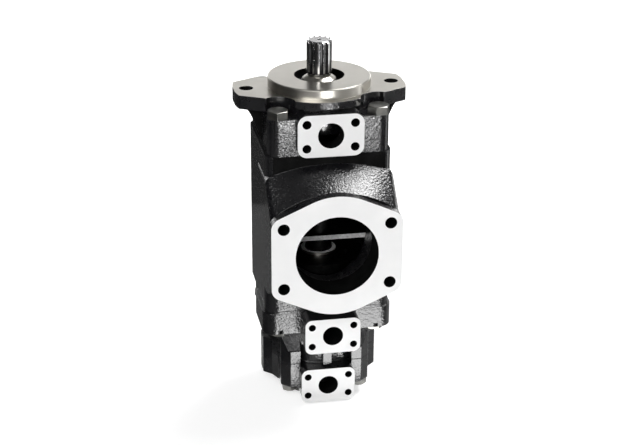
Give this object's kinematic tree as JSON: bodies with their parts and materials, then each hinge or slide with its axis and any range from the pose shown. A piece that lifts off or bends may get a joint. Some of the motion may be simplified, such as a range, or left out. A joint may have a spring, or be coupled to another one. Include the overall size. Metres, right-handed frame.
{
  "type": "hydraulic vane pump",
  "caption": "Hydraulic vane pump on a two-bolt flange, with a splined shaft, a wide flanged suction port and outlets stacked along one side.",
  "frame": {"origin": "on the shaft axis at the mounting flange's front face", "axes": "+Z along the shaft, out of the pump; -Y out of the ports; +X to the right seen from the ports, shaft up"},
  "size_m": [0.212, 0.2009, 0.462],
  "materials": {
    "cast_paint": "gloss black enamel over rough cast iron; port faces, flange face and pilot left as ground metal",
    "screw_steel": "bright zinc-plated steel",
    "seal_rubber": "matt black nitrile rubber",
    "spring_steel": "phosphated spring steel",
    "bearing_steel": "polished bearing steel",
    "cage_steel": "pressed steel",
    "bush_bronze": "turned bronze",
    "shaft_steel": "ground and polished steel",
    "plate_bronze": "lapped bronze-faced steel",
    "ring_steel": "ground hardened steel",
    "vane_steel": "ground tool steel"
  },
  "bodies": {
    "casing": {"mounting_cap": "cast_paint", "suction_housing": "cast_paint", "centre_housing": "cast_paint", "end_cap": "cast_paint", "cap_screws": "screw_steel", "centre_screws": "screw_steel", "end_screws": "screw_steel", "casing_seal_rings": "seal_rubber", "seal_retaining_ring": "spring_steel", "shaft_seal": "seal_rubber", "bearing_retaining_ring": "spring_steel", "bearing_outer_race": "bearing_steel", "shaft_bushes": "bush_bronze", "cartridge_dowels": "screw_steel", "front_upper_plate": "plate_bronze", "front_cam_ring": "ring_steel", "front_lower_plate": "plate_bronze", "middle_upper_plate": "plate_bronze", "middle_cam_ring": "ring_steel", "middle_lower_plate": "plate_bronze", "rear_upper_plate": "plate_bronze", "rear_cam_ring": "ring_steel", "rear_lower_plate": "plate_bronze"},
    "shaft": {"drive_shaft": "shaft_steel", "bearing_inner_race": "bearing_steel", "front_rotor": "ring_steel", "middle_rotor": "ring_steel", "rear_rotor": "ring_steel"},
    "bearing_cage": {"bearing_cage": "cage_steel", "bearing_balls": "bearing_steel"},
    "front_vane_1": {"front_vane_1": "vane_steel"},
    "front_vane_2": {"front_vane_2": "vane_steel"},
    "front_vane_3": {"front_vane_3": "vane_steel"},
    "front_vane_4": {"front_vane_4": "vane_steel"},
    "front_vane_5": {"front_vane_5": "vane_steel"},
    "front_vane_6": {"front_vane_6": "vane_steel"},
    "front_vane_7": {"front_vane_7": "vane_steel"},
    "front_vane_8": {"front_vane_8": "vane_steel"},
    "front_vane_9": {"front_vane_9": "vane_steel"},
    "front_vane_10": {"front_vane_10": "vane_steel"},
    "middle_vane_1": {"middle_vane_1": "vane_steel"},
    "middle_vane_2": {"middle_vane_2": "vane_steel"},
    "middle_vane_3": {"middle_vane_3": "vane_steel"},
    "middle_vane_4": {"middle_vane_4": "vane_steel"},
    "middle_vane_5": {"middle_vane_5": "vane_steel"},
    "middle_vane_6": {"middle_vane_6": "vane_steel"},
    "middle_vane_7": {"middle_vane_7": "vane_steel"},
    "middle_vane_8": {"middle_vane_8": "vane_steel"},
    "middle_vane_9": {"middle_vane_9": "vane_steel"},
    "middle_vane_10": {"middle_vane_10": "vane_steel"},
    "rear_vane_1": {"rear_vane_1": "vane_steel"},
    "rear_vane_2": {"rear_vane_2": "vane_steel"},
    "rear_vane_3": {"rear_vane_3": "vane_steel"},
    "rear_vane_4": {"rear_vane_4": "vane_steel"},
    "rear_vane_5": {"rear_vane_5": "vane_steel"},
    "rear_vane_6": {"rear_vane_6": "vane_steel"},
    "rear_vane_7": {"rear_vane_7": "vane_steel"},
    "rear_vane_8": {"rear_vane_8": "vane_steel"},
    "rear_vane_9": {"rear_vane_9": "vane_steel"},
    "rear_vane_10": {"rear_vane_10": "vane_steel"}
  },
  "joints": [
    {"name": "shaft_spin", "type": "hinge", "parent": "casing", "child": "shaft", "pos_m": [0, 0, 0], "axis": [0, 0, 1], "continuous": true},
    {"name": "cage_spin", "type": "hinge", "parent": "casing", "child": "bearing_cage", "pos_m": [0, 0, -0.029], "axis": [0, 0, 1], "continuous": true},
    {"name": "front_vane_1_slide", "type": "slide", "parent": "shaft", "child": "front_vane_1", "axis": [1, 0, 0], "range_m": [0, 0.0004]},
    {"name": "front_vane_2_slide", "type": "slide", "parent": "shaft", "child": "front_vane_2", "axis": [0.809, 0.5878, 0], "range_m": [0, 0.00213]},
    {"name": "front_vane_3_slide", "type": "slide", "parent": "shaft", "child": "front_vane_3", "axis": [0.309, 0.9511, 0], "range_m": [0, 0.00492]},
    {"name": "front_vane_4_slide", "type": "slide", "parent": "shaft", "child": "front_vane_4", "axis": [-0.309, 0.9511, 0], "range_m": [0, 0.00492]},
    {"name": "front_vane_5_slide", "type": "slide", "parent": "shaft", "child": "front_vane_5", "axis": [-0.809, 0.5878, 0], "range_m": [0, 0.00213]},
    {"name": "front_vane_6_slide", "type": "slide", "parent": "shaft", "child": "front_vane_6", "axis": [-1, 0, 0], "range_m": [0, 0.0004]},
    {"name": "front_vane_7_slide", "type": "slide", "parent": "shaft", "child": "front_vane_7", "axis": [-0.809, -0.5878, 0], "range_m": [0, 0.00213]},
    {"name": "front_vane_8_slide", "type": "slide", "parent": "shaft", "child": "front_vane_8", "axis": [-0.309, -0.9511, 0], "range_m": [0, 0.00492]},
    {"name": "front_vane_9_slide", "type": "slide", "parent": "shaft", "child": "front_vane_9", "axis": [0.309, -0.9511, 0], "range_m": [0, 0.00492]},
    {"name": "front_vane_10_slide", "type": "slide", "parent": "shaft", "child": "front_vane_10", "axis": [0.809, -0.5878, 0], "range_m": [0, 0.00213]},
    {"name": "middle_vane_1_slide", "type": "slide", "parent": "shaft", "child": "middle_vane_1", "axis": [1, 0, 0], "range_m": [0, 0.0004]},
    {"name": "middle_vane_2_slide", "type": "slide", "parent": "shaft", "child": "middle_vane_2", "axis": [0.809, 0.5878, 0], "range_m": [0, 0.00182]},
    {"name": "middle_vane_3_slide", "type": "slide", "parent": "shaft", "child": "middle_vane_3", "axis": [0.309, 0.9511, 0], "range_m": [0, 0.00411]},
    {"name": "middle_vane_4_slide", "type": "slide", "parent": "shaft", "child": "middle_vane_4", "axis": [-0.309, 0.9511, 0], "range_m": [0, 0.00411]},
    {"name": "middle_vane_5_slide", "type": "slide", "parent": "shaft", "child": "middle_vane_5", "axis": [-0.809, 0.5878, 0], "range_m": [0, 0.00182]},
    {"name": "middle_vane_6_slide", "type": "slide", "parent": "shaft", "child": "middle_vane_6", "axis": [-1, 0, 0], "range_m": [0, 0.0004]},
    {"name": "middle_vane_7_slide", "type": "slide", "parent": "shaft", "child": "middle_vane_7", "axis": [-0.809, -0.5878, 0], "range_m": [0, 0.00182]},
    {"name": "middle_vane_8_slide", "type": "slide", "parent": "shaft", "child": "middle_vane_8", "axis": [-0.309, -0.9511, 0], "range_m": [0, 0.00411]},
    {"name": "middle_vane_9_slide", "type": "slide", "parent": "shaft", "child": "middle_vane_9", "axis": [0.309, -0.9511, 0], "range_m": [0, 0.00411]},
    {"name": "middle_vane_10_slide", "type": "slide", "parent": "shaft", "child": "middle_vane_10", "axis": [0.809, -0.5878, 0], "range_m": [0, 0.00182]},
    {"name": "rear_vane_1_slide", "type": "slide", "parent": "shaft", "child": "rear_vane_1", "axis": [1, 0, 0], "range_m": [0, 0.0004]},
    {"name": "rear_vane_2_slide", "type": "slide", "parent": "shaft", "child": "rear_vane_2", "axis": [0.809, 0.5878, 0], "range_m": [0, 0.00154]},
    {"name": "rear_vane_3_slide", "type": "slide", "parent": "shaft", "child": "rear_vane_3", "axis": [0.309, 0.9511, 0], "range_m": [0, 0.00338]},
    {"name": "rear_vane_4_slide", "type": "slide", "parent": "shaft", "child": "rear_vane_4", "axis": [-0.309, 0.9511, 0], "range_m": [0, 0.00338]},
    {"name": "rear_vane_5_slide", "type": "slide", "parent": "shaft", "child": "rear_vane_5", "axis": [-0.809, 0.5878, 0], "range_m": [0, 0.00154]},
    {"name": "rear_vane_6_slide", "type": "slide", "parent": "shaft", "child": "rear_vane_6", "axis": [-1, 0, 0], "range_m": [0, 0.0004]},
    {"name": "rear_vane_7_slide", "type": "slide", "parent": "shaft", "child": "rear_vane_7", "axis": [-0.809, -0.5878, 0], "range_m": [0, 0.00154]},
    {"name": "rear_vane_8_slide", "type": "slide", "parent": "shaft", "child": "rear_vane_8", "axis": [-0.309, -0.9511, 0], "range_m": [0, 0.00338]},
    {"name": "rear_vane_9_slide", "type": "slide", "parent": "shaft", "child": "rear_vane_9", "axis": [0.309, -0.9511, 0], "range_m": [0, 0.00338]},
    {"name": "rear_vane_10_slide", "type": "slide", "parent": "shaft", "child": "rear_vane_10", "axis": [0.809, -0.5878, 0], "range_m": [0, 0.00154]}
  ],
  "couplings": [
    {"joint": "cage_spin", "follows": "shaft_spin", "ratio": 0.4}
  ]
}
